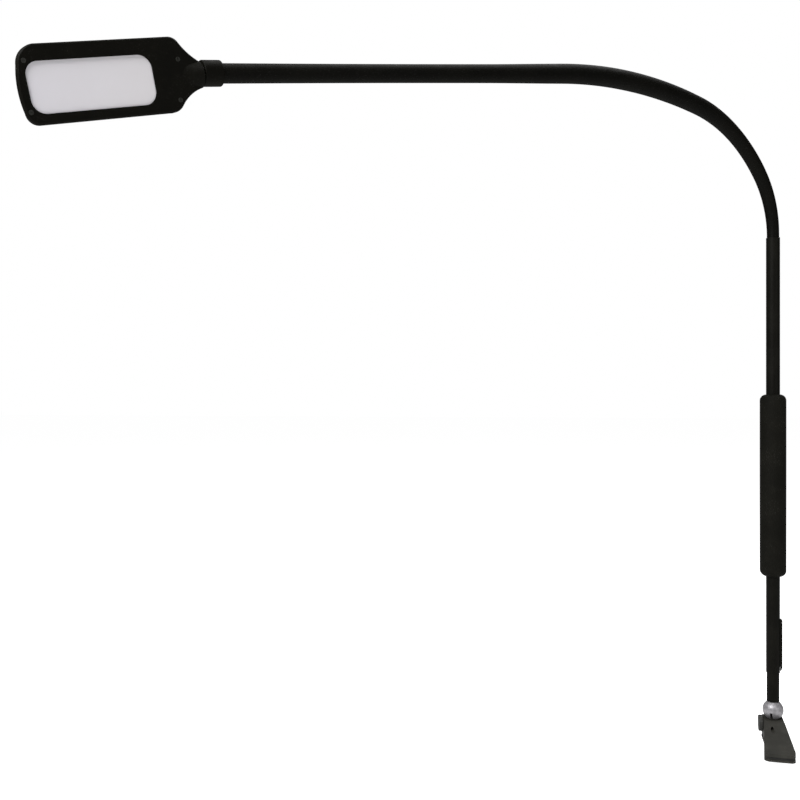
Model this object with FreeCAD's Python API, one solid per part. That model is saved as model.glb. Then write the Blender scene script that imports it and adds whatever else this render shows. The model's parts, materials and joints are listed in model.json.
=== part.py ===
import math
import os

import FreeCAD
import Part

# Clip-on reading lamp. Millimetres, +Z up. The origin is where the two jaw pads meet, the jaws point along -Y
# and the pole stands behind them. The arm bends in one upright plane, turned away from the jaws by ARM_TURN.

# Clip
POLE_Y = 40.0            # from the grip point back to the pole axis
JAW_REACH = 25.0         # from the grip point out to the jaw tips
HANDLE_REACH = 36.0      # from the pole axis back to the handle ends
TIP_WIDTH = 31.0
SOCKET_WIDTH = 20.6
HANDLE_WIDTH = 14.0
TIP_HEIGHT = 4.6         # top of the upper jaw at its tip
PAD_THICKNESS = 1.2
PAD_GAP = 0.05
PAD_INSET = 1.5
SOCKET_TOP = 20.8
LOWER_LIP = 2.2          # thickness of the lower jaw
HANDLE_THICKNESS = 2.8
HANDLE_DROP = 13.0       # how far the lower handle's end hangs below the pads
HINGE_BACK = 10.0        # the jaw pin behind the pole axis
HINGE_Z = 2.5
HINGE_PIN_RADIUS = 1.8
LUG_RADIUS = 5.0
LUG_THICKNESS = 3.0
CAVITY_HEIGHT = 8.4
SPRING_WIRE = 1.1
SPRING_TURNS = 6

# Ball joint
BALL_RADIUS = 10.6
BALL_Z = 30.0
BALL_BORE = 6.8
SLOT_WIDTH = 2.6
SLOT_FRONT = 82.0        # degrees up the front of the ball, from its lowest point
SLOT_BACK = 26.0
SLOT_TURN = 17.0         # degrees from the jaws towards -X
STUD_RADIUS = 1.2
SEAT_THICKNESS = 1.2
KNOB_RADIUS = 8.4
KNOB_THICKNESS = 4.2
KNOB_Z = 14.6
KNOB_GRIPS = 20
LOCK_SCREW_RADIUS = 2.0
SOCKET_SCREW_X = -3.2
SOCKET_SCREW_Z = 16.2
SOCKET_SCREW_RADIUS = 1.7

# Pole
INNER_TUBE_RADIUS = 6.4
INNER_TUBE_WALL = 0.9
INNER_TUBE_BOTTOM = 39.3
INNER_TUBE_TOP = 168.0
OUTER_TUBE_RADIUS = 7.0
LOWER_TUBE_BOTTOM = 70.0
GRIP_BOTTOM = 172.7
GRIP_LENGTH = 194.2
GRIP_RADIUS = 13.3
GRIP_WALL = 1.7
GRIP_ROUNDING = 6.5
CAP_LENGTH = 12.0
TUBE_INTO_GRIP = 22.0
UPPER_TUBE_WALL = 0.9
UPPER_TUBE_LENGTH = 167.4
CELL_RADIUS = 9.2
CELL_LENGTH = 65.0
CELL_START = 31.0        # above the bottom of the grip
CARRIER_WALL = 1.6
BUTTON_RADIUS = 3.9
BUTTON_PROUD = 0.9
BUTTON_BELOW_TOP = 17.0
PORT_WIDTH = 9.0
PORT_HEIGHT = 3.2
PORT_BELOW_TOP = 26.5
BOARD_WIDTH = 15.0

# Lock lever on the lower tube
LEVER_LENGTH = 55.0
LEVER_WIDTH = 4.8
LEVER_THICKNESS = 1.8
LEVER_LIFT = 1.3         # the lever's middle outside the tube
LEVER_TOP = 127.0

# Gooseneck: arcs of (radius, degrees), then straight links
ARM_TURN = 228.0         # degrees from +X
ARM_START = 2.7          # straight above the upper tube before the first arc
ARM_ARCS = [(98.0, 39.0), (160.0, 41.65), (530.0, 19.8)]
ARM_STRAIGHTS = [212.0, 120.0]
ROOT_STEP = 0.5          # the gooseneck's root is this much slimmer than the tube below it
BEND_RADII = [7.6, 8.7, 7.9, 7.1]
CORE_RADIUS = 3.8
JOINT_GAP = 0.3
COLLAR_RADIUS = 9.1
COLLAR_LENGTH = 14.5
SPIGOT_RADIUS = 6.0

# Head, in its own axes: X along it from the end of the arm, Z across it, Y out of its lit face
HEAD_DIP = 14.3
HEAD_TWIST = 8.0
HEAD_TIP = 141.0
HEAD_NECK = 15.6
HEAD_TOP = 26.2
HEAD_BOTTOM = 23.8
TOP_CORNER = 12.0
BOTTOM_CORNER = 8.0
TIP_BOW = 2.0            # how far the tip's end bulges between its corners
NECK_HALF = 8.9
NECK_RINGS = [(HEAD_NECK, NECK_HALF, NECK_HALF), (19.0, 9.0, 7.2), (24.0, 8.6, 4.9), (31.0, 7.4, 2.6)]
BEZEL_START = 20.0
SHOULDER_TOP = 32.6
SHOULDER_BOTTOM = 37.4
BEZEL_THICKNESS = 3.0
BEZEL_EDGE = 0.9         # the slope round the bezel's front edge
RIM_THICKNESS = 2.0
BACK_DEPTH = 6.0
BACK_INSET = 8.0
SHELL_WALL = 1.4
WINDOW_LENGTH = 84.6
WINDOW_HEIGHT = 32.8
WINDOW_CENTRE = 93.0
WINDOW_OFFSET = -0.8
WINDOW_CORNER = 9.0
WINDOW_LAND = 1.5        # how far the diffuser reaches under the bezel
DIFFUSER_THICKNESS = 0.9
GUIDE_THICKNESS = 1.8
SHEET_THICKNESS = 0.3
SPREADER_THICKNESS = 1.2
LED_COUNT = 12
SCREW_RADIUS = 1.6
SCREW_SHANK = 0.9
SCREW_HEAD = 1.0

FIT = 0.05               # running clearance on a radius
CLEAR = 0.3              # between curved faces of different bodies

X = FreeCAD.Vector(1, 0, 0)
Y = FreeCAD.Vector(0, 1, 0)
Z = FreeCAD.Vector(0, 0, 1)

hinge_y = POLE_Y + HINGE_BACK
jaw_top = PAD_THICKNESS + PAD_GAP
grip_top = GRIP_BOTTOM + GRIP_LENGTH
upper_tube_top = grip_top + UPPER_TUBE_LENGTH
link_radii = [OUTER_TUBE_RADIUS - ROOT_STEP] + BEND_RADII
nodes = {}


def vector(x, y, z):
    return FreeCAD.Vector(x, y, z)


def box(x0, x1, y0, y1, z0, z1):
    return Part.makeBox(x1 - x0, y1 - y0, z1 - z0, vector(x0, y0, z0))


def rod(radius, start, axis, length):
    return Part.makeCylinder(radius, length, start, axis)


def pipe(outer, inner, start, axis, length):
    return rod(outer, start, axis, length).cut(rod(inner, start, axis, length))


def upright(radius, z0, z1):
    return rod(radius, vector(0, POLE_Y, z0), Z, z1 - z0)


def upright_pipe(outer, inner, z0, z1):
    return upright(outer, z0, z1).cut(upright(inner, z0, z1))


def side_plate(points, half_width):
    """A plate across X with the outline given as (y, z) points."""
    corners = [vector(-half_width, y, z) for y, z in points]
    face = Part.Face(Part.makePolygon(corners + corners[:1]))
    return face.extrude(vector(2 * half_width, 0, 0))


def round_edges(shape, radius, wanted):
    edges = [edge for edge in shape.Edges if wanted(edge)]
    return shape.makeFillet(radius, edges) if edges else shape


def is_upright(edge):
    if not isinstance(edge.Curve, Part.Line):
        return False
    return abs(edge.tangentAt(edge.FirstParameter).z) > 0.999


def runs_back(edge):
    return abs(edge.tangentAt(edge.FirstParameter).y) > 0.9


def clip_plan(tip_y, rear_y, z0, z1):
    """The clip seen from above: wide at the tips, slim at the socket and slimmer at the handles."""
    half_tip = TIP_WIDTH / 2
    half_socket = SOCKET_WIDTH / 2
    half_handle = HANDLE_WIDTH / 2
    socket_front = POLE_Y - SOCKET_WIDTH / 2 - 2
    socket_rear = POLE_Y + SOCKET_WIDTH / 2 + 4
    right = [(half_tip, tip_y), (half_socket, socket_front), (half_socket, socket_rear), (half_handle, rear_y)]
    outline = right + [(-x, y) for x, y in reversed(right)]
    corners = [vector(x, y, z0) for x, y in outline]
    block = Part.Face(Part.makePolygon(corners + corners[:1])).extrude(vector(0, 0, z1 - z0))
    return round_edges(block, 5.0, lambda edge: is_upright(edge) and edge.Vertexes[0].Point.y in (tip_y, rear_y))


def make_clip():
    tip_y = -JAW_REACH
    rear_y = POLE_Y + HANDLE_REACH
    socket_half = SOCKET_WIDTH / 2 + 0.8
    hump_front = POLE_Y - socket_half
    hump_rear = POLE_Y + socket_half
    upper = side_plate([
        (tip_y, jaw_top), (tip_y, TIP_HEIGHT), (hump_front, SOCKET_TOP),
        (hump_rear, SOCKET_TOP), (hump_rear + 3.2, SOCKET_TOP - 7.6), (hump_rear + 11, jaw_top + 5),
        (rear_y, jaw_top + HANDLE_THICKNESS), (rear_y, jaw_top)], TIP_WIDTH)
    plan = clip_plan(tip_y, rear_y, -40, 60)
    upper = upper.common(plan)
    upper = round_edges(upper, 1.2, lambda edge: edge.CenterOfMass.z > SOCKET_TOP - 0.1 and runs_back(edge))

    ball_centre = vector(0, POLE_Y, BALL_Z)
    cup_radius = BALL_RADIUS + FIT + SEAT_THICKNESS
    stud_bore = STUD_RADIUS + CLEAR
    cavity_half = SOCKET_WIDTH / 2 - 2.6
    cavity = box(-cavity_half, cavity_half, POLE_Y - 3.6, hinge_y + 14, 0, CAVITY_HEIGHT)
    pin_half = SOCKET_WIDTH / 2 - 0.4
    pin_start = vector(-pin_half, hinge_y, HINGE_Z)
    upper = upper.cut(Part.makeSphere(cup_radius, ball_centre))
    upper = upper.cut(cavity)
    upper = upper.cut(rod(stud_bore, vector(0, POLE_Y, 0), Z, SOCKET_TOP))
    upper = upper.cut(rod(HINGE_PIN_RADIUS, pin_start, X, 2 * pin_half))
    insert_radius = LOCK_SCREW_RADIUS + 1.0
    insert_start = vector(-SOCKET_WIDTH / 2, POLE_Y, KNOB_Z)
    upper = upper.cut(rod(insert_radius, insert_start, X, 5))
    upper = upper.cut(rod(LOCK_SCREW_RADIUS + FIT, insert_start, X, SOCKET_WIDTH / 2))
    screw_start = vector(SOCKET_SCREW_X, tip_y, SOCKET_SCREW_Z)
    upper = upper.cut(rod(SOCKET_SCREW_RADIUS, screw_start, Y, hump_front + 5 - tip_y))
    nodes["upper_jaw"] = upper

    insert = pipe(insert_radius, LOCK_SCREW_RADIUS + FIT, insert_start, X, 5)
    nodes["knob_insert"] = insert
    screw = rod(SOCKET_SCREW_RADIUS, vector(SOCKET_SCREW_X, hump_front + 1.2, SOCKET_SCREW_Z), Y, 3.8)
    hex_start = vector(SOCKET_SCREW_X, hump_front + 1.2, SOCKET_SCREW_Z)
    hex_points = [hex_start + vector(math.cos(math.radians(a)), 0, math.sin(math.radians(a)))
                  for a in range(0, 361, 60)]
    hex_cut = Part.Face(Part.makePolygon(hex_points)).extrude(vector(0, 1.8, 0))
    nodes["socket_screw"] = screw.cut(hex_cut)

    seat = Part.makeSphere(cup_radius, ball_centre).cut(Part.makeSphere(BALL_RADIUS + FIT, ball_centre))
    seat_top = SOCKET_TOP + 0.5
    seat = seat.common(box(-20, 20, POLE_Y - 20, POLE_Y + 20, 0, seat_top))
    nodes["ball_seat"] = seat.cut(rod(stud_bore, vector(0, POLE_Y, 0), Z, SOCKET_TOP))

    pad_plan = clip_plan(tip_y + PAD_INSET, rear_y, -40, 60)
    pad_rear = POLE_Y - SOCKET_WIDTH / 2
    half_pad = TIP_WIDTH / 2
    pad = pad_plan.common(box(-half_pad, half_pad, tip_y, pad_rear, PAD_GAP, jaw_top))
    pad = pad.common(clip_plan(tip_y, rear_y, 0, 10))
    for rib in range(7):
        rib_y = tip_y + 5 + 6 * rib
        pad = pad.cut(box(-half_pad, half_pad, rib_y, rib_y + 1.5, PAD_GAP, PAD_GAP + 0.4))
    nodes["upper_pad"] = pad
    nodes["lower_pad"] = pad.mirror(vector(0, 0, 0), Z)

    lower = side_plate([
        (tip_y, -jaw_top), (tip_y, -jaw_top - LOWER_LIP), (hinge_y, -jaw_top - LOWER_LIP),
        (hinge_y + 8, -jaw_top - LOWER_LIP - 1.6), (rear_y, -HANDLE_DROP - HANDLE_THICKNESS),
        (rear_y, -HANDLE_DROP), (hinge_y + 8, -jaw_top - 1.2), (hinge_y, -jaw_top)], TIP_WIDTH)
    lower = lower.common(plan)
    for side in (-1, 1):
        inner = cavity_half - 0.4 - LUG_THICKNESS
        start = vector(side * inner, hinge_y, HINGE_Z)
        direction = X if side > 0 else -X
        lug = rod(LUG_RADIUS, start, direction, LUG_THICKNESS)
        x0, x1 = sorted((side * inner, side * (inner + LUG_THICKNESS)))
        web = box(x0, x1, hinge_y - LUG_RADIUS, hinge_y + LUG_RADIUS, -jaw_top - 1.5, HINGE_Z)
        lower = lower.fuse(lug).fuse(web)
    lower = lower.cut(rod(HINGE_PIN_RADIUS + FIT, pin_start, X, 2 * pin_half))
    nodes["lower_jaw"] = lower.removeSplitter()

    nodes["jaw_pin"] = rod(HINGE_PIN_RADIUS, pin_start, X, 2 * pin_half)
    nodes["jaw_spring"] = make_jaw_spring()


def make_jaw_spring():
    """Closely wound torsion spring round the jaw pin, with a leg along each jaw."""
    coil_radius = HINGE_PIN_RADIUS + 0.5 + SPRING_WIRE / 2
    pitch = SPRING_WIRE * 1.02
    start_x = -pitch * SPRING_TURNS / 2
    half_wire = SPRING_WIRE / 2
    spring = rod(coil_radius + half_wire, vector(start_x, hinge_y, HINGE_Z), X, pitch * SPRING_TURNS)
    spring = spring.cut(rod(coil_radius - half_wire, vector(start_x, hinge_y, HINGE_Z), X, pitch * SPRING_TURNS))
    for turn in range(SPRING_TURNS - 1):
        groove_centre = vector(start_x + pitch * (turn + 1), hinge_y, HINGE_Z)
        spring = spring.cut(Part.makeTorus(coil_radius + half_wire, 0.28, groove_centre, X))
    leg_reach = 11.0
    upper_leg = rod(half_wire, vector(start_x + half_wire, hinge_y, HINGE_Z + coil_radius), Y, leg_reach)
    lower_leg = rod(half_wire, vector(-start_x - half_wire, hinge_y, HINGE_Z - coil_radius + 0.2), -Y, leg_reach - 1)
    return spring.fuse(upper_leg).fuse(lower_leg)


def make_lock_knob():
    knob_start = vector(-SOCKET_WIDTH / 2 - CLEAR - KNOB_THICKNESS, POLE_Y, KNOB_Z)
    knob = rod(KNOB_RADIUS, knob_start, X, KNOB_THICKNESS)
    knob = knob.makeFillet(0.9, knob.Edges[0:3:2])
    for grip in range(KNOB_GRIPS):
        angle = 2 * math.pi * grip / KNOB_GRIPS
        offset = vector(-1, KNOB_RADIUS * math.cos(angle), KNOB_RADIUS * math.sin(angle))
        knob = knob.cut(rod(0.5, knob_start + offset, X, KNOB_THICKNESS + 2))
    screw_start = knob_start + vector(KNOB_THICKNESS - 2, 0, 0)
    screw_end = -STUD_RADIUS - 0.4
    screw = rod(LOCK_SCREW_RADIUS, screw_start, X, screw_end - screw_start.x)
    nodes["lock_knob"] = knob.cut(screw)
    nodes["lock_screw"] = screw


def in_slot_axes(shape):
    turned = shape.copy()
    turned.rotate(vector(0, POLE_Y, BALL_Z), Z, -SLOT_TURN)
    return turned


def make_ball_joint():
    centre = vector(0, POLE_Y, BALL_Z)
    ball = Part.makeSphere(BALL_RADIUS, centre).cut(Part.makeSphere(BALL_BORE, centre))
    slot_face = Part.makePolygon([
        vector(-SLOT_WIDTH / 2, POLE_Y, BALL_Z), vector(SLOT_WIDTH / 2, POLE_Y, BALL_Z),
        vector(SLOT_WIDTH / 2, POLE_Y, BALL_Z - 14), vector(-SLOT_WIDTH / 2, POLE_Y, BALL_Z - 14),
        vector(-SLOT_WIDTH / 2, POLE_Y, BALL_Z)])
    slot = Part.Face(slot_face)
    slot.rotate(centre, X, SLOT_BACK)
    slot = slot.revolve(centre, -X, SLOT_FRONT + SLOT_BACK)
    stem_radius = 4.0
    ball = ball.cut(in_slot_axes(slot)).cut(upright(stem_radius, BALL_Z, BALL_Z + 20))
    nodes["ball"] = ball
    inner_bore = INNER_TUBE_RADIUS - INNER_TUBE_WALL
    shoulder = BALL_Z + BALL_RADIUS
    stem = upright(stem_radius, BALL_Z + BALL_BORE - 0.4, shoulder)
    stem = stem.fuse(upright(inner_bore, shoulder, shoulder + 12))
    nodes["ball_stem"] = stem
    nodes["inner_tube"] = upright_pipe(INNER_TUBE_RADIUS, inner_bore, INNER_TUBE_BOTTOM, INNER_TUBE_TOP)
    nodes["tube_stop"] = upright(inner_bore, INNER_TUBE_TOP - 8, INNER_TUBE_TOP)

    cup_radius = BALL_BORE - CLEAR
    cup = Part.makeSphere(cup_radius, centre).cut(Part.makeSphere(cup_radius - 2.0, centre))
    cup = cup.common(box(-20, 20, POLE_Y - 20, POLE_Y + 20, 0, BALL_Z - cup_radius + 3.6))
    stud_bottom = CAVITY_HEIGHT - 3.0
    stud_top = BALL_Z - 2.4
    stud = upright(STUD_RADIUS, stud_bottom, stud_top)
    nodes["tension_cup"] = cup.cut(stud)
    head = upright(2.8, BALL_Z - cup_radius + 2.0, BALL_Z - cup_radius + 2.0 + 1.6)
    head = head.common(Part.makeSphere(cup_radius - 2.0, centre))
    foot = upright(2.8, CAVITY_HEIGHT - 3.0, CAVITY_HEIGHT - 0.2)
    nodes["tension_stud"] = stud.fuse(head).fuse(foot)


def make_pole():
    tube_bore = INNER_TUBE_RADIUS + FIT
    tube_top = GRIP_BOTTOM + TUBE_INTO_GRIP
    nodes["lower_tube"] = upright_pipe(OUTER_TUBE_RADIUS, tube_bore, LOWER_TUBE_BOTTOM, tube_top)

    grip_bore = GRIP_RADIUS - GRIP_WALL
    bottom_cap = upright(GRIP_RADIUS, GRIP_BOTTOM, GRIP_BOTTOM + CAP_LENGTH)
    bottom_cap = round_edges(bottom_cap, GRIP_ROUNDING, lambda edge: edge.BoundBox.ZMax < GRIP_BOTTOM + 0.01)
    bottom_cap = bottom_cap.fuse(upright(grip_bore, GRIP_BOTTOM + CAP_LENGTH, tube_top + 2))
    nodes["grip_bottom_cap"] = bottom_cap.cut(upright(OUTER_TUBE_RADIUS, GRIP_BOTTOM - 1, tube_top))
    top_cap = upright(GRIP_RADIUS, grip_top - CAP_LENGTH, grip_top)
    top_cap = round_edges(top_cap, GRIP_ROUNDING, lambda edge: edge.BoundBox.ZMin > grip_top - 0.01)
    nodes["grip_top_cap"] = top_cap.cut(upright(OUTER_TUBE_RADIUS, grip_top - CAP_LENGTH + 2, grip_top + 1))

    button_z = grip_top - BUTTON_BELOW_TOP
    port_z = grip_top - PORT_BELOW_TOP
    sleeve = upright_pipe(GRIP_RADIUS, grip_bore, GRIP_BOTTOM + CAP_LENGTH, grip_top - CAP_LENGTH)
    button_start = vector(0, POLE_Y + 6.5, button_z)
    sleeve = sleeve.cut(rod(BUTTON_RADIUS + FIT, button_start, Y, 20))
    port_half = PORT_WIDTH / 2
    port_rise = PORT_HEIGHT / 2
    port_block = box(-port_half, port_half, POLE_Y + 6.2, POLE_Y + GRIP_RADIUS - 0.8, port_z - port_rise,
                     port_z + port_rise)
    port_block = round_edges(port_block, port_rise - 0.1, lambda edge: abs(edge.tangentAt(0).y) > 0.99)
    sleeve = sleeve.cut(port_block).cut(port_block.translated(vector(0, 4, 0)))
    nodes["grip_sleeve"] = sleeve
    socket = box(-port_half + 0.5, port_half - 0.5, POLE_Y + 7.2, POLE_Y + 20, port_z - port_rise + 0.5,
                 port_z + port_rise - 0.5)
    tongue = box(-port_half + 1.8, port_half - 1.8, POLE_Y + 7.2, POLE_Y + GRIP_RADIUS - 2, port_z - 0.3,
                 port_z + 0.3)
    nodes["charge_port"] = port_block.cut(socket).fuse(tongue)
    plunger = rod(BUTTON_RADIUS, button_start, Y, GRIP_RADIUS + BUTTON_PROUD - 6.5)
    nodes["power_button"] = round_edges(plunger, 0.6, lambda edge: edge.BoundBox.YMin > POLE_Y + GRIP_RADIUS)
    board = box(-BOARD_WIDTH / 2, BOARD_WIDTH / 2, POLE_Y + 4.0, POLE_Y + 5.2, port_z - 4, grip_top - CAP_LENGTH)
    chips = box(-3, 3, POLE_Y + 2.4, POLE_Y + 4.0, port_z, port_z + 5)
    nodes["control_board"] = board.fuse(chips)

    cell_start = GRIP_BOTTOM + CELL_START
    cell_pitch = CELL_LENGTH + 1.0
    cells = []
    for index in range(2):
        z0 = cell_start + index * cell_pitch
        cell = upright(CELL_RADIUS, z0, z0 + CELL_LENGTH - 1.2)
        cells.append(cell.fuse(upright(3.0, z0 + CELL_LENGTH - 1.2, z0 + CELL_LENGTH)))
    nodes["battery_cells"] = Part.makeCompound(cells)
    cells_end = cell_start + 2 * cell_pitch - 1.0
    contacts = [upright(5.0, z0, z0 + 0.8) for z0 in (cell_start - 0.9, cells_end + 0.1)]
    contacts.append(upright_pipe(4.0, 3.2, cell_start - 4.5, cell_start - 0.9))
    nodes["cell_contacts"] = Part.makeCompound([contacts[0].fuse(contacts[2]), contacts[1]])
    carrier = upright_pipe(CELL_RADIUS + 0.2 + CARRIER_WALL, CELL_RADIUS + 0.2, cell_start - 5, cells_end)
    nodes["cell_carrier"] = carrier.common(box(-20, 20, POLE_Y - 20, POLE_Y + 1.0, 0, upper_tube_top))

    bore = OUTER_TUBE_RADIUS - UPPER_TUBE_WALL
    nodes["upper_tube"] = upright_pipe(OUTER_TUBE_RADIUS, bore, grip_top - CAP_LENGTH + 2, upper_tube_top)
    ferrule_length = 26.0
    nodes["root_ferrule"] = upright_pipe(bore, CORE_RADIUS, upper_tube_top - ferrule_length, upper_tube_top)


def make_lock_lever():
    pin_x = OUTER_TUBE_RADIUS + LEVER_LIFT
    half = LEVER_THICKNESS / 2
    ear_height = 7.5
    pin_z = LEVER_TOP - 3.2
    tube = upright(OUTER_TUBE_RADIUS, 0, GRIP_BOTTOM)
    bracket = None
    for side in (-1, 1):
        y0, y1 = sorted((side * (LEVER_WIDTH / 2 + FIT), side * (LEVER_WIDTH / 2 + 1.0)))
        ear = box(OUTER_TUBE_RADIUS - 2, pin_x + half - 0.1, POLE_Y + y0, POLE_Y + y1, LEVER_TOP - ear_height, LEVER_TOP)
        ear = ear.cut(tube)
        bracket = ear if bracket is None else bracket.fuse(ear)
    bridge = box(OUTER_TUBE_RADIUS - 2, pin_x + half - 0.1, POLE_Y - LEVER_WIDTH / 2 - 1.0,
                 POLE_Y + LEVER_WIDTH / 2 + 1.0, LEVER_TOP - 1.6, LEVER_TOP)
    bracket = bracket.fuse(bridge.cut(tube)).removeSplitter()
    slope = Part.makePolygon([
        vector(pin_x + half - 1.6, POLE_Y - 9, LEVER_TOP + 0.1), vector(pin_x + half + 1, POLE_Y - 9, LEVER_TOP + 0.1),
        vector(pin_x + half + 1, POLE_Y - 9, LEVER_TOP - 1.5), vector(pin_x + half - 1.6, POLE_Y - 9, LEVER_TOP + 0.1)])
    bracket = bracket.cut(Part.Face(slope).extrude(vector(0, 18, 0)))
    pin = rod(0.5, vector(pin_x, POLE_Y - LEVER_WIDTH / 2 - 1.0, pin_z), Y, LEVER_WIDTH + 2.0)
    nodes["lever_bracket"] = bracket.cut(pin)
    nodes["lever_pin"] = pin
    lever = box(pin_x - half, pin_x + half, POLE_Y - LEVER_WIDTH / 2, POLE_Y + LEVER_WIDTH / 2,
                pin_z - LEVER_LENGTH + 3, pin_z)
    lever = lever.fuse(rod(half, vector(pin_x, POLE_Y - LEVER_WIDTH / 2, pin_z), Y, LEVER_WIDTH)).removeSplitter()
    tip = Part.makePolygon([
        vector(pin_x + half + 0.1, POLE_Y - 9, pin_z - LEVER_LENGTH + 2.9),
        vector(pin_x - half + 0.2, POLE_Y - 9, pin_z - LEVER_LENGTH + 2.9),
        vector(pin_x + half + 0.1, POLE_Y - 9, pin_z - LEVER_LENGTH + 7),
        vector(pin_x + half + 0.1, POLE_Y - 9, pin_z - LEVER_LENGTH + 2.9)])
    lever = lever.cut(Part.Face(tip).extrude(vector(0, 18, 0)))
    nodes["lock_lever"] = lever.cut(rod(0.5 + FIT, pin.CenterOfMass - vector(0, 9, 0), Y, 18))


def arm_stations():
    """The arm's links in its own upright plane: (x, z, heading, kind, size, angle) for each, and where it ends."""
    x, z, heading = 0.0, upper_tube_top + ARM_START, 90.0
    links = []
    for radius, angle in ARM_ARCS:
        links.append((x, z, heading, radius, angle))
        start = math.radians(heading)
        end = math.radians(heading - angle)
        x += radius * (math.sin(start) - math.sin(end))
        z += radius * (math.cos(end) - math.cos(start))
        heading -= angle
    for length in ARM_STRAIGHTS:
        links.append((x, z, heading, 0.0, length))
        x += length * math.cos(math.radians(heading))
        z += length * math.sin(math.radians(heading))
    return links, (x, z, heading)


def along(heading):
    return vector(math.cos(math.radians(heading)), 0, math.sin(math.radians(heading)))


def link_rod(link, radius):
    x, z, heading, bend, size = link
    start = vector(x, 0, z)
    if not bend:
        return rod(radius, start, along(heading), size)
    section = Part.Face(Part.Wire(Part.makeCircle(radius, start, along(heading))))
    centre = start - along(heading + 90) * bend
    return section.revolve(centre, Y, size)


def to_arm(shape):
    placed = shape.copy()
    placed.rotate(vector(0, 0, 0), Z, ARM_TURN)
    placed.translate(vector(0, POLE_Y, 0))
    return placed


def make_gooseneck():
    links, end = arm_stations()
    last = len(links) - 1
    for index, link in enumerate(links):
        outer = link_radii[index]
        sleeve = link_rod(link, outer)
        core = link_rod(link, CORE_RADIUS)
        start = vector(link[0], 0, link[1])
        if index == 0:
            sleeve = sleeve.fuse(rod(outer, vector(0, 0, upper_tube_top), Z, ARM_START))
            core = core.fuse(rod(CORE_RADIUS, vector(0, 0, upper_tube_top - 26), Z, ARM_START + 26))
        else:
            sleeve = sleeve.fuse(Part.makeSphere(outer, start))
        sleeve = sleeve.cut(core)
        if index < last:
            following = links[index + 1]
            gap = max(outer, link_radii[index + 1]) + JOINT_GAP
            recess = Part.makeSphere(gap, vector(following[0], 0, following[1]))
            sleeve = sleeve.cut(recess)
            core = core.cut(recess)
        name = str(index) if index else "root"
        nodes["sleeve_" + name] = to_arm(sleeve)
        nodes["core_" + name] = to_arm(core)
    x, z, heading = end
    face = vector(x, 0, z)
    direction = along(heading)
    collar = rod(COLLAR_RADIUS, face, direction, COLLAR_LENGTH)
    collar = collar.makeFillet(0.8, [edge for edge in collar.Edges if edge.Closed])
    collar = collar.cut(rod(SPIGOT_RADIUS + FIT, face + direction * 3, direction, COLLAR_LENGTH))
    nodes["head_collar"] = to_arm(collar)
    spigot = rod(SPIGOT_RADIUS, face + direction * 4, direction, COLLAR_LENGTH + 2)
    nodes["head_spigot"] = to_arm(spigot)
    return end


def head_outline(inset, depth):
    """The head's outline, shrunk by inset, at a depth out of its face."""
    top = HEAD_TOP
    bottom = -HEAD_BOTTOM
    side_x = HEAD_TIP - TIP_BOW
    top_cut = 0.32 * TOP_CORNER
    bottom_cut = 0.3 * BOTTOM_CORNER

    def at(x, z, inward_x, inward_z):
        return vector(x + inward_x * inset, depth, z + inward_z * inset)

    neck_top = at(HEAD_NECK, NECK_HALF, 1.0, -0.35)
    flare_top = at(SHOULDER_TOP - 3.4, top - 3.3, 0.75, -0.65)
    edge_top = at(SHOULDER_TOP + 3.4, top, 0.3, -1.0)
    corner_top = at(side_x - TOP_CORNER + 0.2, top, -0.5, -1.0)
    side_top = at(side_x, top - TOP_CORNER, -1.0, -0.5)
    side_bottom = at(side_x + 0.6, bottom + BOTTOM_CORNER, -1.0, 0.4)
    corner_bottom = at(side_x + 0.6 - BOTTOM_CORNER, bottom, -0.5, 1.0)
    edge_bottom = at(SHOULDER_BOTTOM + 4.6, bottom, 0.3, 1.0)
    flare_bottom = at(SHOULDER_BOTTOM - 4.4, bottom + 3.6, 0.75, 0.65)
    neck_bottom = at(HEAD_NECK, -NECK_HALF, 1.0, 0.35)
    edges = [
        Part.LineSegment(neck_bottom, neck_top),
        Part.Arc(neck_top, at(22.6, 14.6, 0.72, -0.62), flare_top),
        Part.Arc(flare_top, at(SHOULDER_TOP - 0.4, top - 0.9, 0.48, -0.88), edge_top),
        Part.LineSegment(edge_top, corner_top),
        Part.Arc(corner_top, at(side_x - top_cut, top - top_cut, -0.85, -0.85), side_top),
        Part.Arc(side_top, at(HEAD_TIP, -3.0, -1.0, 0.0), side_bottom),
        Part.Arc(side_bottom, at(side_x + 0.6 - bottom_cut, bottom + bottom_cut, -0.85, 0.85), corner_bottom),
        Part.LineSegment(corner_bottom, edge_bottom),
        Part.Arc(edge_bottom, at(SHOULDER_BOTTOM - 0.8, bottom + 0.9, 0.48, 0.88), flare_bottom),
        Part.Arc(flare_bottom, at(24.2, -12.2, 0.72, 0.62), neck_bottom),
    ]
    return Part.Wire([edge.toShape() for edge in edges])


def neck_section(x, across, through):
    """A ring across the neck: as wide as across, as deep as through."""
    if across == through:
        ring = Part.makeCircle(across)
    else:
        ring = Part.Ellipse(vector(0, 0, 0), across, through).toShape()
    ring.rotate(vector(0, 0, 0), Y, -90)
    ring.translate(vector(x, 0, 0))
    return Part.Wire(ring)


def head_slab(inset, y0, y1):
    return Part.Face(head_outline(inset, y0)).extrude(vector(0, y1 - y0, 0))


def window_slab(grow, y0, y1):
    half_length = WINDOW_LENGTH / 2 + grow
    half_height = WINDOW_HEIGHT / 2 + grow
    slab = box(WINDOW_CENTRE - half_length, WINDOW_CENTRE + half_length, y0, y1,
               WINDOW_OFFSET - half_height, WINDOW_OFFSET + half_height)
    return round_edges(slab, WINDOW_CORNER + grow, lambda edge: abs(edge.tangentAt(0).y) > 0.99)


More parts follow.
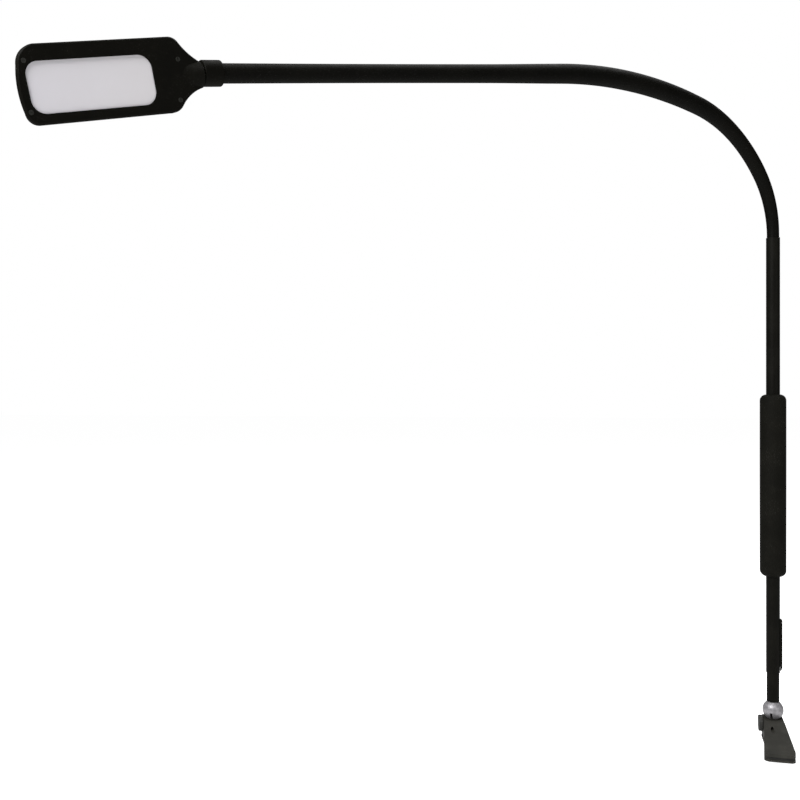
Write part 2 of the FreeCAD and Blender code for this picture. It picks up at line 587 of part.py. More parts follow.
def screw_places():
    """Two screws by the tip's corners and two inside the shoulders, as (x, z)."""
    return [(HEAD_TIP - 6.4, HEAD_TOP - 9.9), (HEAD_TIP - 4.3, -HEAD_BOTTOM + 8.4),
            (SHOULDER_TOP - 1.4, HEAD_TOP - 15.1), (SHOULDER_BOTTOM - 3.1, -HEAD_BOTTOM + 8.0)]


def make_head(end):
    x, z, heading = end
    front = BEZEL_THICKNESS
    lip = front - 1.1
    neck_horn = Part.makeLoft([neck_section(x_at, across, through) for x_at, across, through in NECK_RINGS], True)
    land = WINDOW_LAND
    guide_back = lip - DIFFUSER_THICKNESS - GUIDE_THICKNESS
    sheet_back = guide_back - SHEET_THICKNESS
    spreader_back = sheet_back - SPREADER_THICKNESS
    led_x = WINDOW_CENTRE - WINDOW_LENGTH / 2 - land

    bezel = head_slab(0, 0, front - BEZEL_EDGE)
    bezel = bezel.fuse(Part.makeLoft([head_outline(0, front - BEZEL_EDGE), head_outline(BEZEL_EDGE, front)], True))
    neck_block = box(0, BEZEL_START, -1, front + 1, -HEAD_BOTTOM, HEAD_TOP)
    root = bezel.common(neck_block)
    bezel = bezel.cut(neck_block)
    bezel = bezel.cut(window_slab(0, 0, front + 1)).cut(window_slab(land, -1, lip))
    led_pocket = box(led_x - 4.5, led_x + 3, -1, lip, WINDOW_OFFSET - 15, WINDOW_OFFSET + 15)
    bezel = bezel.cut(led_pocket)
    back = head_slab(0, -RIM_THICKNESS, 0)
    rear = -RIM_THICKNESS - BACK_DEPTH
    back = back.fuse(Part.makeLoft([head_outline(0, -RIM_THICKNESS), head_outline(BACK_INSET, rear)], True))
    hollow = head_slab(SHELL_WALL + 1, -RIM_THICKNESS, 0.1)
    hollow = hollow.fuse(Part.makeLoft([head_outline(SHELL_WALL + 1, -RIM_THICKNESS),
                                        head_outline(BACK_INSET + SHELL_WALL, rear + SHELL_WALL)], True))
    keep = box(0, led_x - 6, -40, 40, -60, 60)
    hollow = hollow.cut(keep)
    back = back.cut(hollow)

    screws = []
    for place_x, place_z in screw_places():
        head = rod(SCREW_RADIUS, vector(place_x, front - SCREW_HEAD - 0.1, place_z), Y, SCREW_HEAD)
        shank = rod(SCREW_SHANK, vector(place_x, -RIM_THICKNESS - 2, place_z), Y, front + RIM_THICKNESS + 0.9)
        cross = box(place_x - 1.2, place_x + 1.2, front - 0.6, front, place_z - 0.25, place_z + 0.25)
        cross = cross.fuse(box(place_x - 0.25, place_x + 0.25, front - 0.6, front, place_z - 1.2, place_z + 1.2))
        boss = rod(2.2, vector(place_x, -RIM_THICKNESS - 2.5, place_z), Y, RIM_THICKNESS + 2.5)
        back = back.fuse(boss.common(head_slab(0.5, -RIM_THICKNESS - 2.5, 0)))
        screws.append(head.fuse(shank).cut(cross))
        bezel = bezel.cut(rod(SCREW_RADIUS + 0.15, vector(place_x, front - SCREW_HEAD - 0.1, place_z), Y, 3))
        bezel = bezel.cut(rod(SCREW_SHANK, vector(place_x, -1, place_z), Y, front + 1))
        back = back.cut(rod(SCREW_SHANK, vector(place_x, -RIM_THICKNESS - 2, place_z), Y, 9))
    back = back.fuse(root).fuse(neck_horn)
    bezel = bezel.cut(neck_horn)

    diffuser = window_slab(land - 0.1, lip - DIFFUSER_THICKNESS, lip)
    guide = window_slab(land - 0.1, guide_back, lip - DIFFUSER_THICKNESS)
    guide = guide.cut(box(0, led_x + 3.1, -5, 5, WINDOW_OFFSET - 15, WINDOW_OFFSET + 15))
    sheet = window_slab(land - 0.1, sheet_back, guide_back)
    spreader = window_slab(land - 0.1, spreader_back, sheet_back)
    pitch = (WINDOW_HEIGHT - 8) / LED_COUNT
    strip = box(led_x - 0.4, led_x + 0.8, guide_back, lip - DIFFUSER_THICKNESS, WINDOW_OFFSET - 14, WINDOW_OFFSET + 14)
    for index in range(LED_COUNT):
        z0 = WINDOW_OFFSET + (index - (LED_COUNT - 1) / 2) * pitch
        strip = strip.fuse(box(led_x + 0.8, led_x + 2.6, guide_back + 0.2, lip - DIFFUSER_THICKNESS - 0.2, z0 - 0.6,
                               z0 + 0.6))
    back = back.cut(window_slab(land, spreader_back, 1)).cut(led_pocket.translated(vector(0, -1.2, 0)))
    pieces = {"head_back": back, "head_bezel": bezel, "diffuser": diffuser, "light_guide": guide,
              "reflector_sheet": sheet, "heat_spreader": spreader, "led_strip": strip,
              "head_screws": Part.makeCompound(screws)}
    twist_start = to_arm(rod(SPIGOT_RADIUS, vector(x, 0, z) + along(heading) * 4, along(heading), COLLAR_LENGTH + 2))
    for name, shape in pieces.items():
        placed = shape.copy()
        placed.rotate(vector(0, 0, 0), X, -HEAD_TWIST)
        placed.rotate(vector(0, 0, 0), Y, HEAD_DIP)
        placed.translate(vector(x, 0, z))
        placed = to_arm(placed)
        if name in ("head_back", "head_bezel"):
            placed = placed.cut(twist_start)
        nodes[name] = placed


def main():
    make_clip()
    make_lock_knob()
    make_ball_joint()
    make_pole()
    make_lock_lever()
    make_head(make_gooseneck())
    os.makedirs("parts", exist_ok=True)
    for name, shape in nodes.items():
        shape.exportStep("parts/" + name + ".step")
        print(name, len(shape.Solids), shape.isValid(), round(shape.Volume, 1))


main()
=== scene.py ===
import math
import json
import bpy
import bmesh
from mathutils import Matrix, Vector


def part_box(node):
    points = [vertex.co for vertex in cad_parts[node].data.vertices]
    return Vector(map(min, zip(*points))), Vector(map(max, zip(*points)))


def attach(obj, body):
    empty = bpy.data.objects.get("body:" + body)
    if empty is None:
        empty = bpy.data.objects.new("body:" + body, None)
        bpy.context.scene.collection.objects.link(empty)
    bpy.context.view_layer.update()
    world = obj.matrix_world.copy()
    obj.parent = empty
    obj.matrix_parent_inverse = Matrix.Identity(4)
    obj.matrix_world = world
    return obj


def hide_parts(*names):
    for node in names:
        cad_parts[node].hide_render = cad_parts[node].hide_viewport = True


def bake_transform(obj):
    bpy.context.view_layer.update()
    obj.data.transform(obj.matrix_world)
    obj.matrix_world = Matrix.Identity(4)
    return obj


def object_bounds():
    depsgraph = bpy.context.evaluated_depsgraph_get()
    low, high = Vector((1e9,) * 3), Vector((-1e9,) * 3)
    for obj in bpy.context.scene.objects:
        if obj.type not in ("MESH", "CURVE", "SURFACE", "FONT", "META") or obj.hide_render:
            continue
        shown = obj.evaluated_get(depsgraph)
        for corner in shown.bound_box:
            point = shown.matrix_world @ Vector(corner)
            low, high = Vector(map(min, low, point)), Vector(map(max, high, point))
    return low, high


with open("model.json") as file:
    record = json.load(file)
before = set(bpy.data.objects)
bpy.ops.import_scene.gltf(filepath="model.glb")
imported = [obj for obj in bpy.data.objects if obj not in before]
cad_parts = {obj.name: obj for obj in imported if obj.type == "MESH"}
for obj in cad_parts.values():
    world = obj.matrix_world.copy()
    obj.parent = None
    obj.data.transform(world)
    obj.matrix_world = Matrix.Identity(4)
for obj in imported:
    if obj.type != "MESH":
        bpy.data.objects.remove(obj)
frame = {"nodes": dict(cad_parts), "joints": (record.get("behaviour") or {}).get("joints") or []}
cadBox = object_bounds()
print("frame loaded:", len(frame["nodes"]), "nodes")

mm = 0.001
rounding = 1e-6
up = Vector((0.0, 0.0, 1.0))
joints = {joint["name"]: joint for joint in frame["joints"]}


class Wire:
    # one output socket, so that shader maths reads as Python
    def __init__(self, paint, socket):
        self.paint = paint
        self.socket = socket

    def math(self, operation, first, second):
        return self.paint.node("ShaderNodeMath", {"operation": operation}, {0: first, 1: second})

    def __add__(self, other):
        return self.math("ADD", self, other)

    def __sub__(self, other):
        return self.math("SUBTRACT", self, other)

    def __rsub__(self, other):
        return self.math("SUBTRACT", other, self)

    def __mul__(self, other):
        return self.math("MULTIPLY", self, other)

    __radd__ = __add__
    __rmul__ = __mul__

    def between(self, low, high):
        # 0 at low, 1 at high, eased in between
        limits = {"Value": self, "From Min": low, "From Max": high}
        return self.paint.node("ShaderNodeMapRange", {"interpolation_type": "SMOOTHSTEP"}, limits)


class Paint:
    # a material with one Principled shader, and short ways to add nodes to it
    def __init__(self, name, **uniform):
        self.material = bpy.data.materials.new(name)
        self.material.use_nodes = True
        self.tree = self.material.node_tree
        self.tree.nodes.clear()
        self.shader = self.tree.nodes.new("ShaderNodeBsdfPrincipled")
        output = self.tree.nodes.new("ShaderNodeOutputMaterial")
        self.tree.links.new(self.shader.outputs[0], output.inputs[0])
        for socket, value in uniform.items():
            self.set(socket.replace("_", " "), value)
        self.place = self.node("ShaderNodeTexCoord", out="Object")

    def node(self, kind, settings=None, sockets=None, out=0):
        made = self.tree.nodes.new(kind)
        for setting, value in (settings or {}).items():
            setattr(made, setting, value)
        for socket, value in (sockets or {}).items():
            self.feed(made.inputs[socket], value)
        return Wire(self, made.outputs[out])

    def feed(self, socket, value):
        if isinstance(value, Wire):
            self.tree.links.new(value.socket, socket)
        else:
            socket.default_value = value

    def set(self, name, value):
        self.feed(self.shader.inputs[name], value)

    def noise(self, scale, detail=3.0, roughness=0.5, place=None):
        sockets = {"Vector": place or self.place, "Scale": scale, "Detail": detail, "Roughness": roughness}
        return self.node("ShaderNodeTexNoise", None, sockets)

    def cells(self, scale):
        return self.node("ShaderNodeTexVoronoi", None, {"Vector": self.place, "Scale": scale})

    def stretched(self, x, y, z):
        return self.node("ShaderNodeMapping", None, {"Vector": self.place, "Scale": (x, y, z)})

    def mix(self, factor, first, second):
        # inputs 6 and 7 and output 2 are a Mix node's colours
        return self.node("ShaderNodeMix", {"data_type": "RGBA"}, {0: factor, 6: first, 7: second}, out=2)

    def bump(self, height, distance):
        self.set("Normal", self.node("ShaderNodeBump", None, {"Height": height, "Distance": distance}))


def colour(red, green, blue):
    return (red, green, blue, 1.0)


def toned(shade, share):
    # the same colour, darker below 1 and lighter above it
    return colour(shade[0] * share, shade[1] * share, shade[2] * share)


# moulded plastic: a fine eroded grain, faint mottling, rubbed patches and a little dust
plasticWear = {"pitShare": 0.6, "cloud": 38.0, "rubbed": 95.0, "dust": 2600.0,
               "dustShade": colour(0.32, 0.31, 0.29)}


def mouldedPlastic(look):
    wear = plasticWear
    paint = Paint(look["name"], Specular_IOR_Level=look["specular"])
    grain = paint.noise(look["grain"], 4.0, 0.65)
    pits = paint.cells(look["grain"] * wear["pitShare"])
    cloud = paint.noise(wear["cloud"], 3.0, 0.6)
    rubbed = paint.noise(wear["rubbed"], 5.0, 0.7).between(0.52, 0.72)
    dust = paint.noise(wear["dust"], 1.0, 0.4).between(0.71, 0.78) * cloud.between(0.4, 0.7)
    shade = paint.mix(cloud.between(0.3, 0.75), toned(look["shade"], 0.82), toned(look["shade"], 1.25))
    shade = paint.mix(rubbed * 0.35, shade, toned(look["shade"], 1.9))
    paint.set("Base Color", paint.mix(dust * look["dust"], shade, wear["dustShade"]))
    paint.set("Roughness", look["rough"] + cloud * 0.12 - rubbed * 0.09 + grain * 0.05)
    paint.bump(grain * 0.7 + pits * 0.5, look["depth"] * mm)
    return paint.material


# satin paint on tube: orange peel, hairline marks along the tube and handling smudges
tubeWear = {"specular": 0.07, "peel": 620.0, "lines": (1500.0, 1500.0, 22.0), "smudge": 46.0,
            "specks": 3100.0, "speckShade": colour(0.2, 0.2, 0.19), "depth": 0.05}


def paintedTube(look):
    wear = tubeWear
    paint = Paint(look["name"], Specular_IOR_Level=wear["specular"])
    peel = paint.noise(wear["peel"], 2.0, 0.5)
    lines = paint.noise(1.0, 3.0, 0.6, paint.stretched(*wear["lines"]))
    smudge = paint.noise(wear["smudge"], 4.0, 0.62).between(0.42, 0.7)
    specks = paint.noise(wear["specks"], 1.0).between(0.73, 0.79)
    shade = paint.mix(smudge, toned(look["shade"], 0.85), toned(look["shade"], 1.3))
    paint.set("Base Color", paint.mix(specks * 0.08, shade, wear["speckShade"]))
    paint.set("Roughness", look["rough"] + smudge * 0.12 + lines * 0.08)
    paint.bump(peel * 0.8 + lines * 0.3, wear["depth"] * mm)
    return paint.material


# silicone rubber: soft sheen, lint, and very fine matt skin
rubberWear = {"specular": 0.06, "skin": 1700.0, "cloud": 24.0, "lint": 2300.0, "lintLay": (1.0, 0.35, 0.8),
              "lintShade": colour(0.24, 0.24, 0.23), "wiped": 70.0, "depth": 0.008}


def siliconeSkin(look):
    wear = rubberWear
    paint = Paint(look["name"], Specular_IOR_Level=wear["specular"])
    skin = paint.noise(wear["skin"], 3.0, 0.6)
    cloud = paint.noise(wear["cloud"], 4.0, 0.6)
    lint = paint.noise(wear["lint"], 0.0, 0.5, paint.stretched(*wear["lintLay"])).between(0.75, 0.8)
    wiped = paint.noise(wear["wiped"], 3.0, 0.5).between(0.5, 0.75)
    shade = paint.mix(cloud.between(0.3, 0.7), toned(look["shade"], 0.8), toned(look["shade"], 1.3))
    paint.set("Base Color", paint.mix(lint * 0.08, shade, wear["lintShade"]))
    paint.set("Roughness", look["rough"] + cloud * 0.1 - wiped * 0.08)
    paint.bump(skin, wear["depth"] * mm)
    return paint.material


# steel: fine turning marks, mottled tone, tiny scratches
steelWear = {"anisotropic": 0.3, "marks": (400.0, 400.0, 3200.0), "cloud": 260.0, "scratch": 900.0,
             "scratchLay": (0.3, 1.0, 1.6), "depth": 0.02}


def turnedSteel(look):
    wear = steelWear
    paint = Paint(look["name"], Metallic=look["metal"], Anisotropic=wear["anisotropic"])
    marks = paint.noise(1.0, 3.0, 0.7, paint.stretched(*wear["marks"]))
    cloud = paint.noise(wear["cloud"], 4.0, 0.65)
    scratch = paint.noise(wear["scratch"], 5.0, 0.8, paint.stretched(*wear["scratchLay"])).between(0.6, 0.68)
    shade = paint.mix(cloud.between(0.35, 0.68), toned(look["shade"], 0.72), toned(look["shade"], 1.15))
    paint.set("Base Color", paint.mix(scratch * 0.4, shade, toned(look["shade"], 0.5)))
    paint.set("Roughness", look["rough"] + marks * 0.14 + cloud * 0.1)
    paint.bump(marks * 0.6 + scratch * 0.2, wear["depth"] * mm)
    return paint.material


# opal sheet: milky body with a faint dot pattern under a frosted face, warmer toward the neck
opalPattern = {"specular": 0.4, "coatRough": 0.35, "dots": 900.0, "frost": 2400.0, "haze": 30.0,
               "rough": 0.46, "coat": 0.12, "depth": 0.015}


def opalSheet(look):
    pattern = opalPattern
    low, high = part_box("diffuser")
    far = low[0] - look["farMargin"] * mm
    near = high[0] + look["nearMargin"] * mm
    paint = Paint(look["name"], Specular_IOR_Level=pattern["specular"], Coat_Roughness=pattern["coatRough"])
    across = paint.node("ShaderNodeSeparateXYZ", None, {0: paint.place}).between(far, near)
    dots = paint.cells(pattern["dots"]).between(0.16, 0.3)
    frost = paint.noise(pattern["frost"], 3.0, 0.6)
    haze = paint.noise(pattern["haze"], 3.0, 0.55)
    shade = paint.mix(across, look["cool"], look["warm"])
    shade = paint.mix(haze.between(0.35, 0.75) * 0.35, shade, toned(look["warm"], 0.93))
    paint.set("Base Color", paint.mix(dots * 0.05, shade, toned(look["warm"], 1.06)))
    paint.set("Roughness", pattern["rough"] + haze * 0.14 + frost * 0.06)
    paint.set("Coat Weight", pattern["coat"] + haze * 0.1)
    paint.bump(frost * 0.6 + dots * 0.3, pattern["depth"] * mm)
    return paint.material


# printed board: solder mask with traces and pads
boardPrint = {"specular": 0.5, "traces": 330.0, "pads": 700.0, "padShade": colour(0.75, 0.74, 0.68),
              "rough": 0.4, "depth": 0.04}


def printedBoard(look):
    board = boardPrint
    paint = Paint(look["name"], Specular_IOR_Level=board["specular"])
    waves = {"Vector": paint.place, "Scale": board["traces"], "Distortion": 3.0, "Detail": 1.0}
    traces = paint.node("ShaderNodeTexWave", {"bands_direction": "X"}, waves, out=1)
    pads = paint.cells(board["pads"]).between(0.22, 0.12)
    shade = paint.mix(traces.between(0.72, 0.8), look["shade"], toned(look["shade"], 2.1))
    paint.set("Base Color", paint.mix(pads, shade, board["padShade"]))
    paint.set("Metallic", pads * 0.9)
    paint.set("Roughness", board["rough"] - pads * 0.15 + paint.noise(800.0) * 0.06)
    paint.bump(traces, board["depth"] * mm)
    return paint.material


# clear acrylic with dots etched in it
acrylicPattern = {"clear": 0.7, "index": 1.49, "dots": 900.0, "dotShade": colour(0.99, 0.99, 1.0),
                  "rough": 0.12}


def clearAcrylic(look):
    pattern = acrylicPattern
    paint = Paint(look["name"], Transmission_Weight=pattern["clear"], IOR=pattern["index"])
    dots = paint.cells(pattern["dots"]).between(0.2, 0.32)
    paint.set("Base Color", paint.mix(dots, look["shade"], pattern["dotShade"]))
    paint.set("Roughness", pattern["rough"] + dots * 0.3 + paint.noise(500.0) * 0.05)
    return paint.material


# shrink sleeve on a cell: crinkled film under a clear coat
wrapFilm = {"specular": 0.6, "coatRough": 0.15, "crinkle": 260.0, "coat": 0.3, "rough": 0.3, "depth": 0.06}


def cellWrap(look):
    film = wrapFilm
    paint = Paint(look["name"], Specular_IOR_Level=film["specular"], Coat_Roughness=film["coatRough"])
    crinkle = paint.noise(film["crinkle"], 4.0, 0.6)
    shade = paint.mix(crinkle.between(0.4, 0.7), look["shade"], toned(look["shade"], 1.3))
    paint.set("Base Color", shade)
    paint.set("Coat Weight", film["coat"] + crinkle * 0.2)
    paint.set("Roughness", film["rough"] + crinkle * 0.15)
    paint.bump(crinkle, film["depth"] * mm)
    return paint.material


looks = {
    "grip": {"make": mouldedPlastic, "name": "gripSoftTouch", "shade": colour(0.0066, 0.0063, 0.0046),
             "rough": 0.60, "specular": 0.07, "grain": 1500.0, "depth": 0.07, "dust": 0.35},
    "clip": {"make": mouldedPlastic, "name": "clipPlastic", "shade": colour(0.031, 0.030, 0.025),
             "rough": 0.50, "specular": 0.24, "grain": 1250.0, "depth": 0.06, "dust": 0.3},
    "head": {"make": mouldedPlastic, "name": "headPlastic", "shade": colour(0.0036, 0.0033, 0.0021),
             "rough": 0.46, "specular": 0.06, "grain": 1700.0, "depth": 0.045, "dust": 0.3},
    "knob": {"make": mouldedPlastic, "name": "knobPlastic", "shade": colour(0.032, 0.032, 0.029),
             "rough": 0.42, "specular": 0.45, "grain": 1500.0, "depth": 0.05, "dust": 0.25},
    "pad": {"make": mouldedPlastic, "name": "padRubber", "shade": colour(0.038, 0.038, 0.036),
            "rough": 0.66, "specular": 0.3, "grain": 900.0, "depth": 0.1, "dust": 0.5},
    "tube": {"make": paintedTube, "name": "satinTube", "shade": colour(0.0058, 0.0055, 0.0041),
             "rough": 0.40},
    "silicone": {"make": siliconeSkin, "name": "neckSilicone", "shade": colour(0.0034, 0.0032, 0.0023),
                 "rough": 0.50},
    "steel": {"make": turnedSteel, "name": "turnedSteel", "shade": colour(0.42, 0.42, 0.41), "rough": 0.30,
              "metal": 1.0},
    "ball": {"make": turnedSteel, "name": "ballSteel", "shade": colour(0.42, 0.41, 0.43), "rough": 0.33,
             "metal": 0.5},
    "screw": {"make": turnedSteel, "name": "screwSteel", "shade": colour(0.05, 0.05, 0.045), "rough": 0.34,
              "metal": 1.0},
    "brass": {"make": turnedSteel, "name": "insertBrass", "shade": colour(0.62, 0.44, 0.19), "rough": 0.3,
              "metal": 1.0},
    "aluminium": {"make": turnedSteel, "name": "spreaderAluminium", "shade": colour(0.58, 0.58, 0.59),
                  "rough": 0.38, "metal": 1.0},
    "opal": {"make": opalSheet, "name": "opalDiffuser", "cool": colour(0.770, 0.750, 0.800),
             "warm": colour(0.795, 0.770, 0.790), "farMargin": 10.9, "nearMargin": 20.8},
    "board": {"make": printedBoard, "name": "solderMask", "shade": colour(0.02, 0.10, 0.05)},
    "acrylic": {"make": clearAcrylic, "name": "guideAcrylic", "shade": colour(0.93, 0.95, 0.96)},
    "wrap": {"make": cellWrap, "name": "cellWrap", "shade": colour(0.02, 0.07, 0.16)},
}
finishes = {finish: look["make"](look) for finish, look in looks.items()}

nodeFinish = {
    "grip": ["grip_sleeve", "grip_bottom_cap", "grip_top_cap"],
    "clip": ["upper_jaw", "lower_jaw", "ball_seat", "cell_carrier"],
    "head": ["head_bezel", "head_back", "head_collar"],
    "knob": ["lock_knob", "power_button", "tube_stop", "root_ferrule"],
    "pad": ["upper_pad", "lower_pad"],
    "tube": ["lower_tube", "inner_tube", "upper_tube", "lock_lever", "lever_bracket"],
    "silicone": ["sleeve_root", "sleeve_1", "sleeve_2", "sleeve_3", "sleeve_4"],
    "steel": ["ball_stem", "jaw_pin", "jaw_spring", "lever_pin", "lock_screw", "socket_screw", "tension_stud",
              "tension_cup", "head_spigot", "core_root", "core_1", "core_2", "core_3", "core_4"],
    "ball": ["ball"],
    "screw": ["head_screws", "charge_port", "cell_contacts"],
    "brass": ["knob_insert"],
    "aluminium": ["heat_spreader"],
    "opal": ["diffuser", "reflector_sheet"],
    "board": ["control_board", "led_strip"],
    "acrylic": ["light_guide"],
    "wrap": ["battery_cells"],
}

# width of the softened edge on each node that has one
bevelled = {"upper_jaw": 0.7, "lower_jaw": 0.5, "lock_lever": 0.3, "lever_bracket": 0.2, "head_bezel": 0.3,
            "inner_tube": 0.15, "lower_tube": 0.2, "upper_tube": 0.25, "ball": 0.15, "upper_pad": 0.2,
            "lower_pad": 0.2}
edges = {"segments": 3, "bevelAngle": 35.0, "smoothAngle": 32.0}


def softenEdges(node, width):
    bevel = node.modifiers.new("edge", "BEVEL")
    bevel.width = width * mm
    bevel.segments = edges["segments"]
    bevel.limit_method = "ANGLE"
    bevel.angle_limit = math.radians(edges["bevelAngle"])
    bevel.harden_normals = True


def paintFrame():
    for finish, names in nodeFinish.items():
        for name in names:
            node = frame["nodes"][name]
            node.data.materials.clear()
            node.data.materials.append(finishes[finish])
            if name in bevelled:
                softenEdges(node, bevelled[name])
    print("frame painted")


def addPiece(name, points, faces, finish):
    mesh = bpy.data.meshes.new(name)
    mesh.from_pydata(points, [], faces)
    mesh.validate()
    work = bmesh.new()
    work.from_mesh(mesh)
    bmesh.ops.recalc_face_normals(work, faces=work.faces)
    work.to_mesh(mesh)
    work.free()
    mesh.polygons.foreach_set("use_smooth", [True] * len(mesh.polygons))
    mesh.set_sharp_from_angle(angle=math.radians(edges["smoothAngle"]))
    mesh.materials.append(finishes[finish])
    piece = bpy.data.objects.new(name, mesh)
    bpy.context.scene.collection.objects.link(piece)
    return piece


# the gooseneck: the arcs and straight links of the frame, in mm, drawn in the arm's own upright plane
gooseneck = {
    "arcs": [(98.0, 39.0), (160.0, 41.65), (530.0, 19.8)],  # radius, and degrees turned
    "straights": [212.0, 120.0],
    "radii": [6.2, 7.0, 7.6, 8.6, 9.0, 8.6, 7.7, 7.1, 6.95],
    "thinning": 80.0,  # from the third bend to the last radius but two
    "ringSpacing": 2.5,
    "sides": 48,
    "bendHalf": 27.0,
    "bodies": ["upper_pole", "neck_1", "neck_2", "neck_3", "neck_4"],
    "stands": [("sleeve_root", "sleeve_1"), ("sleeve_2",), ("sleeve_3",), ("sleeve_4",)],
}
armAxis = Vector(joints["head_twist"]["axis"])
armOut = Vector((armAxis.x, armAxis.y, 0.0)).normalized()
armSide = up.cross(armOut)
tubeLow, tubeHigh = (Vector(corner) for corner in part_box("upper_tube"))
tubeTop = Vector(((tubeLow.x + tubeHigh.x) / 2, (tubeLow.y + tubeHigh.y) / 2, tubeHigh.z))
bends = [Vector(joints["bend_%d" % index]["pos_m"]) for index in range(1, 5)]


def neckSpans():
    # radius and degrees of each arc, or 0 and the length of each straight
    radius, turn = gooseneck["arcs"][0]
    root = (bends[0] - tubeTop).dot(up) / mm - radius * math.sin(math.radians(turn))
    return [(0.0, root)] + gooseneck["arcs"] + [(0.0, length) for length in gooseneck["straights"]]


def neckStation(out, rise, heading, distance):
    place = tubeTop + (armOut * out + up * rise) * mm
    way = armOut * math.cos(math.radians(heading)) + up * math.sin(math.radians(heading))
    return place, way, distance


def neckLine():
    # the centre line's stations, and the distance at each bend and at the end
    line = []
    marks = []
    out, rise, heading, distance = 0.0, 0.0, 90.0, 0.0
    for index, (radius, size) in enumerate(neckSpans()):
        length = radius * math.radians(size) if radius else size
        steps = max(1, round(length / gooseneck["ringSpacing"]))
        turn = size / steps if radius else 0.0
        stride = length / steps
        chord = 2 * radius * math.sin(math.radians(turn) / 2) if radius else stride
        for step in range(steps):
            line.append(neckStation(out, rise, heading, distance))
            middle = math.radians(heading - turn / 2)
            out += chord * math.cos(middle)
            rise += chord * math.sin(middle)
            heading -= turn
            distance += stride
        if index:
            marks.append(distance)
    line.append(neckStation(out, rise, heading, distance))
    return line, marks


def neckRadius(distance, marks):
    # a smooth curve through the radii
    stops = [0.0, marks[0], (marks[0] + marks[1]) / 2, marks[1], (marks[1] + marks[2]) / 2, marks[2],
             marks[2] + gooseneck["thinning"], marks[3], marks[4]]
    radii = gooseneck["radii"]
    for index in range(len(stops) - 1):
        if distance <= stops[index + 1] + rounding:
            share = (distance - stops[index]) / (stops[index + 1] - stops[index])
            before = radii[max(index - 1, 0)]
            after = radii[min(index + 2, len(radii) - 1)]
            low, high = radii[index], radii[index + 1]
            slopeLow, slopeHigh = (high - before) / 2, (after - low) / 2
            square, cube = share * share, share ** 3
            return ((2 * cube - 3 * square + 1) * low + (cube - 2 * square + share) * slopeLow
                    + (3 * square - 2 * cube) * high + (cube - square) * slopeHigh)
    return radii[-1]


def neckRings(stations, marks):
    points = []
    sides = gooseneck["sides"]
    for place, way, distance in stations:
        radius = neckRadius(distance, marks) * mm
        across = armSide.cross(way)
        for side in range(sides):
            angle = 2 * math.pi * side / sides
            points.append(place + (armSide * math.cos(angle) + across * math.sin(angle)) * radius)
    return points


def ringFaces(rings, sides):
    faces = []
    for ring in range(rings):
        start, beyond = ring * sides, (ring + 1) * sides
        for side in range(sides):
            following = (side + 1) % sides
            faces.append((start + side, start + following, beyond + following, beyond + side))
    return faces


def makeNeck():
    # one skin over each bend, cut halfway between the bends
    line, marks = neckLine()
    halfways = [(low + high) / 2 for low, high in zip(marks[:3], marks[1:4])]
    cuts = [min(range(len(line)), key=lambda item: abs(line[item][2] - distance))
            for distance in [0.0] + halfways + [marks[4]]]
    bodies, stands, sides = gooseneck["bodies"], gooseneck["stands"], gooseneck["sides"]
    for index, bend in enumerate(bends):
        first, last = cuts[index], cuts[index + 1]
        rings = last - first
        faces = ringFaces(rings, sides)
        if index == 0:
            faces.append(tuple(range(sides)))
        if index == len(bends) - 1:
            faces.append(tuple(range(rings * sides, (rings + 1) * sides)))
        points = neckRings(line[first:last + 1], marks)
        piece = addPiece("neckSkin%d" % (index + 1), points, faces, "silicone")
        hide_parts(*stands[index])
        way = min(line, key=lambda station: (station[0] - bend).length)[1]
        half = way * gooseneck["bendHalf"] * mm
        tuple(bend - half)
        tuple(bend + half)
        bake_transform(piece)
    print("gooseneck skin made")


# a rubber strip between the lever and the tube, hollowed to the tube's radius
lining = {"gap": 0.08, "overlap": 0.1, "inset": 0.2, "ends": 5.0, "steps": 10}


def makeLeverLining():
    low, high = (Vector(corner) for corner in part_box("lock_lever"))
    lowerLow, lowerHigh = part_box("lower_tube")
    inner = (lowerHigh[0] - lowerLow[0]) / 2 + lining["gap"] * mm
    outer = low.x - tubeTop.x + lining["overlap"] * mm
    half = (high.y - low.y) / 2 - lining["inset"] * mm
    steps = lining["steps"]
    points = []
    for height in (low.z + lining["ends"] * mm, high.z - lining["ends"] * mm):
        for step in range(steps + 1):
            offset = half * (2 * step / steps - 1)
            points.append((tubeTop.x + math.sqrt(inner ** 2 - offset ** 2), tubeTop.y + offset, height))
        for side in (half, -half):
            points.append((tubeTop.x + outer, tubeTop.y + side, height))
    count = steps + 3
    faces = [tuple(range(count)), tuple(range(count, 2 * count))] + ringFaces(1, count)
    piece = addPiece("leverLining", points, faces, "tube")
    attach(piece, "lock_lever")
    print("lever lining made")


# level with the middle of the pole, a metre back and well to the left of it, in mm and degrees
view = {"azimuth": 15.0, "back": 1027.2, "right": 399.1, "height": 361.0, "lens": 43.2, "sensor": 36.0}


def placeCamera():
    turn = math.radians(view["azimuth"])
    sideways = Vector((math.cos(turn), math.sin(turn), 0.0))
    away = Vector((-math.sin(turn), math.cos(turn), 0.0))
    pole = Vector((tubeTop.x, tubeTop.y, 0.0))
    cameraData = bpy.data.cameras.new("camera")
    cameraData.lens = view["lens"]
    cameraData.sensor_width = view["sensor"]
    camera = bpy.data.objects.new("camera", cameraData)
    camera.location = pole - (sideways * view["right"] + away * view["back"]) * mm + up * view["height"] * mm
    camera.rotation_euler = (math.radians(90.0), 0.0, turn)
    bpy.context.scene.collection.objects.link(camera)
    bpy.context.scene.camera = camera


studio = {
    "floorDrop": 2.0,  # mm under the clip
    "floorSize": 40.0,
    "floorTone": 0.9,
    "floorTint": 0.995,
    "floorGlow": 0.93,
    "floorRough": 0.9,
    "floorSpecular": 0.1,
    "paperScale": 3.0,
    "sky": 1.0,
    "fillSky": 0.07,
}


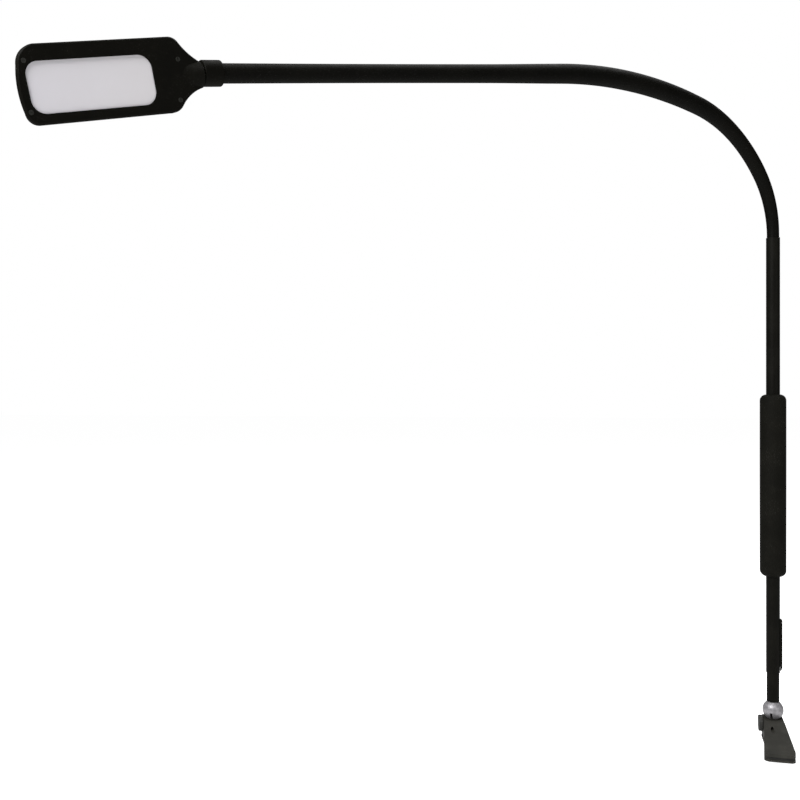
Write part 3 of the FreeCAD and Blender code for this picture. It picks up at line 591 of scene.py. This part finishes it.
def makeStage():
    height = cadBox[0][2] - studio["floorDrop"] * mm
    half = studio["floorSize"] / 2
    corners = [(-half, -half, height), (half, -half, height), (half, half, height), (-half, half, height)]
    mesh = bpy.data.meshes.new("floor")
    mesh.from_pydata(corners, [], [(0, 1, 2, 3)])
    floor = bpy.data.objects.new("floor", mesh)
    bpy.context.scene.collection.objects.link(floor)
    tone, glow = studio["floorTone"], studio["floorGlow"]
    paint = Paint("floorPaper", Roughness=studio["floorRough"], Specular_IOR_Level=studio["floorSpecular"],
                  Emission_Strength=1.0)
    mesh.materials.append(paint.material)
    plain = colour(tone, tone, tone)
    tinted = colour(tone, tone, tone * studio["floorTint"])
    paint.set("Base Color", paint.mix(paint.noise(studio["paperScale"]), plain, tinted))
    seen = paint.node("ShaderNodeLightPath")
    paint.set("Emission Color", paint.mix(seen, colour(0.0, 0.0, 0.0), colour(glow, glow, glow)))


def makeSky():
    # white to the camera, dim to everything else, so that black surfaces stay black
    world = bpy.data.worlds.new("studio")
    world.use_nodes = True
    tree = world.node_tree
    background = tree.nodes["Background"]
    background.inputs[0].default_value = colour(1.0, 1.0, 1.0)
    seen = tree.nodes.new("ShaderNodeLightPath")
    strength = tree.nodes.new("ShaderNodeMapRange")
    strength.inputs["To Min"].default_value = studio["fillSky"]
    strength.inputs["To Max"].default_value = studio["sky"]
    tree.links.new(seen.outputs["Is Camera Ray"], strength.inputs["Value"])
    tree.links.new(strength.outputs[0], background.inputs[1])
    bpy.context.scene.world = world
    bpy.context.scene.view_settings.view_transform = "Standard"


# places and sizes in metres, power in watts
lamps = {
    "key": {"place": (-0.9, -1.5, 1.6), "size": 1.2, "power": 48.0},
    "top": {"place": (0.1, 0.5, 2.2), "size": 1.6, "power": 20.0},
    "fill": {"place": (1.4, -1.0, 0.7), "size": 1.0, "power": 4.0},
}
lampTarget = Vector((-0.2, -0.15, 0.4))


def makeLamps():
    for name, lamp in lamps.items():
        light = bpy.data.lights.new(name, "AREA")
        light.size = lamp["size"]
        light.energy = lamp["power"]
        holder = bpy.data.objects.new(name, light)
        holder.location = lamp["place"]
        holder.rotation_euler = (lampTarget - Vector(lamp["place"])).to_track_quat("-Z", "Y").to_euler()
        bpy.context.scene.collection.objects.link(holder)


paintFrame()
makeNeck()
makeLeverLining()
placeCamera()
makeStage()
makeSky()
makeLamps()
print("camera, floor and lights placed")
